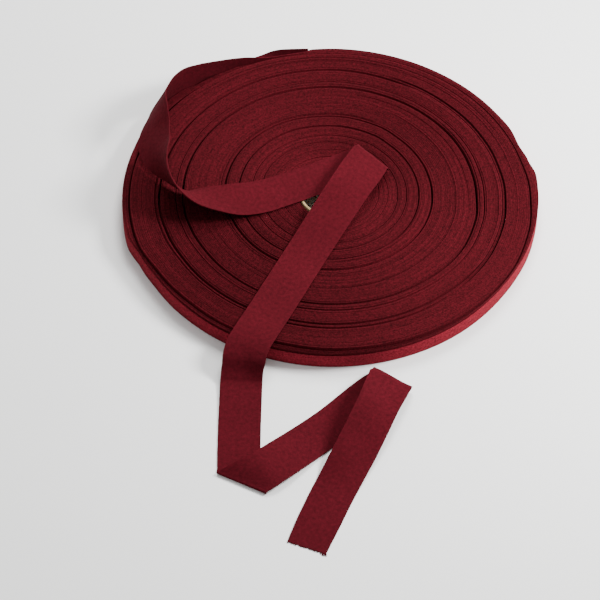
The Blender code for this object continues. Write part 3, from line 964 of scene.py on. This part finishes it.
def reckoned(tree, operation, first, second):
    """One sum on two values or sockets."""
    node = add_node(tree, "ShaderNodeMath", {"operation": operation}, {0: first, 1: second})
    return node.outputs["Value"]


def raised(tree, shader, height, millimetres, strength):
    """Relief on a surface from a height between 0 and 1, so many millimetres high."""
    bump = add_node(tree, "ShaderNodeBump", inputs={
        "Height": height, "Distance": millimetres * MM, "Strength": strength})
    tree.links.new(bump.outputs["Normal"], shader.inputs["Normal"])


def matt(shader, roughness):
    """A dry, matt surface: hardly any gloss, and a faint reddish bloom at a glancing angle."""
    shader.inputs["Roughness"].default_value = roughness
    shader.inputs["Specular IOR Level"].default_value = 0.04
    shader.inputs["Sheen Weight"].default_value = 0.04
    shader.inputs["Sheen Roughness"].default_value = 0.5
    shader.inputs["Sheen Tint"].default_value = linear("b0525c")


def cotton_tape():
    """Plain-woven burgundy cotton, cut on the bias: matt, softly mottled, threads at 45 degrees."""
    made, tree, shader = new_material("burgundy_cotton_tape")
    place = add_node(tree, "ShaderNodeTexCoord")
    cloth = place.outputs["UV"]
    mottle = speckle(tree, cloth, 2.2, 4.0, 0.65)
    colour = toned(tree, mottle, [(0.3, "400b13"), (0.7, "57121c")])
    colour = shaded(tree, colour, speckle(tree, cloth, 0.5, 1.0), 0.74, 1.26)
    colour = shaded(tree, colour, speckle(tree, cloth, 28.0, 1.0), 0.74, 0.98)
    warp = threads(tree, cloth, 45, THREAD_PITCH, 1.2)
    weft = threads(tree, cloth, -45, THREAD_PITCH, 1.2)
    weave = reckoned(tree, "MULTIPLY", warp, weft)
    colour = shaded(tree, colour, weave, 0.94, 1.1)
    # Painted highlight: the tape is drawn up to 5 % lighter in the last half millimetre by both edges,
    # where the edges catch the light
    sides = add_node(tree, "ShaderNodeSeparateXYZ", inputs={"Vector": cloth})
    from_middle = add_node(tree, "ShaderNodeMath", {"operation": "ABSOLUTE"}, {0: sides.outputs["X"]})
    edge = add_node(tree, "ShaderNodeMapRange", inputs={
        "Value": from_middle.outputs["Value"],
        "From Min": (TAPE_WIDTH / 2 - 0.5) * MM,
        "From Max": (TAPE_WIDTH / 2 - 0.1) * MM,
    })
    colour = shaded(tree, colour, edge.outputs["Result"], 1.0, 1.05)
    tree.links.new(colour, shader.inputs["Base Color"])
    fuzz = reckoned(tree, "MULTIPLY", speckle(tree, cloth, 0.9, 3.0), 0.8)
    raised(tree, shader, reckoned(tree, "ADD", weave, fuzz), 0.09, 0.55)
    matt(shader, 0.92)
    return made


def cotton_edges():
    """The pressed edges of the wound tape: the same cotton seen end on, darker and more broken up.

    The tone changes from turn to turn. The flat side of the outermost turn is drawn lighter, a painted
    highlight for the light on that wall.
    """
    made, tree, shader = new_material("burgundy_cotton_edges")
    place = add_node(tree, "ShaderNodeTexCoord")
    tone = add_node(tree, "ShaderNodeAttribute", {"attribute_name": "turn_tone"})
    grain = speckle(tree, place.outputs["Object"], 1.1, 3.0, 0.7)
    colour = toned(tree, grain, [(0.32, "31080d"), (0.68, "5b141d")])
    colour = shaded(tree, colour, speckle(tree, place.outputs["Object"], 0.4, 1.0), 0.62, 1.38)
    lighter = add_node(tree, "ShaderNodeMapRange", inputs={
        "Value": tone.outputs["Fac"], "From Min": -0.6, "From Max": 0.6})
    colour = shaded(tree, colour, lighter.outputs["Result"], 0.64, 1.04)
    # Painted highlight: the marked flat side of the outermost turn is drawn several times lighter, for
    # the light that falls on that wall
    wall = add_node(tree, "ShaderNodeAttribute", {"attribute_name": "wall_highlight_mask"})
    colour = shaded(tree, colour, wall.outputs["Fac"], 1.0, WALL_PAINTED_HIGHLIGHT)
    ribs = threads(tree, place.outputs["UV"], 0, RIB_PITCH, 3.0)
    colour = shaded(tree, colour, ribs, 0.86, 1.14)
    tree.links.new(colour, shader.inputs["Base Color"])
    rough = reckoned(tree, "MULTIPLY", speckle(tree, place.outputs["Object"], 0.7, 3.0), 1.5)
    raised(tree, shader, reckoned(tree, "ADD", ribs, rough), 0.12, 0.6)
    matt(shader, 0.94)
    return made


def kraft_cardboard():
    """Kraft paperboard wound into a tube: pale brown and matt, with fine fibres."""
    made, tree, shader = new_material("kraft_cardboard")
    place = add_node(tree, "ShaderNodeTexCoord")
    fibre = speckle(tree, place.outputs["Object"], 0.8, 4.0, 0.7)
    colour = toned(tree, fibre, [(0.3, "a5855a"), (0.7, "d8c294")])
    colour = shaded(tree, colour, speckle(tree, place.outputs["Object"], 9.0, 1.0), 0.88, 1.1)
    tree.links.new(colour, shader.inputs["Base Color"])
    raised(tree, shader, fibre, 0.08, 0.4)
    shader.inputs["Roughness"].default_value = 0.85
    shader.inputs["Specular IOR Level"].default_value = 0.25
    return made


def make_floor():
    bpy.ops.mesh.primitive_plane_add(size=FLOOR_SIZE, location=(0, 0, 0))
    floor = bpy.context.active_object
    floor.name = "studio_floor"
    made, tree, shader = new_material("pale_floor")
    shader.inputs["Base Color"].default_value = linear("fafaf9")
    shader.inputs["Roughness"].default_value = 0.9
    floor.data.materials.append(made)


def aimed(place, target):
    """The rotation that points a lamp or a camera from a place at a target."""
    return (Vector(target) - Vector(place)).to_track_quat("-Z", "Y").to_euler()


def add_softbox(name, place, size, power):
    """A square area lamp aimed at the roll, its place in metres from the roll's axis."""
    spot = Vector(place) + AXIS
    bpy.ops.object.light_add(type="AREA", location=spot, rotation=aimed(spot, AXIS))
    lamp = bpy.context.active_object
    lamp.name = name
    lamp.data.shape = "SQUARE"
    lamp.data.size = size
    lamp.data.energy = power


def make_studio():
    make_floor()
    for lamp in SOFTBOXES:
        add_softbox(lamp["name"], lamp["place"], lamp["size"], lamp["power"])
    world = bpy.context.scene.world or bpy.data.worlds.new("studio")
    bpy.context.scene.world = world
    world.use_nodes = True
    world.node_tree.nodes["Background"].inputs["Color"].default_value = (1.0, 1.0, 1.0, 1.0)
    world.node_tree.nodes["Background"].inputs["Strength"].default_value = SKY_STRENGTH
    elevation = math.radians(CAMERA_ELEVATION)
    spot = AXIS + Vector((
        CAMERA_AIM[0],
        CAMERA_AIM[1] - CAMERA_DISTANCE * math.cos(elevation),
        CAMERA_DISTANCE * math.sin(elevation),
    )) * MM
    bpy.ops.object.camera_add(location=spot, rotation=(math.pi / 2 - elevation, 0.0, 0.0))
    camera = bpy.context.active_object
    camera.data.sensor_width = SENSOR
    camera.data.lens = FOCAL_LENGTH
    bpy.context.scene.camera = camera


def main():
    deselect()
    make_studio()
    make_winding(cotton_edges())
    make_tube(kraft_cardboard())
    make_loose_end(cotton_tape())
    deselect()


main()
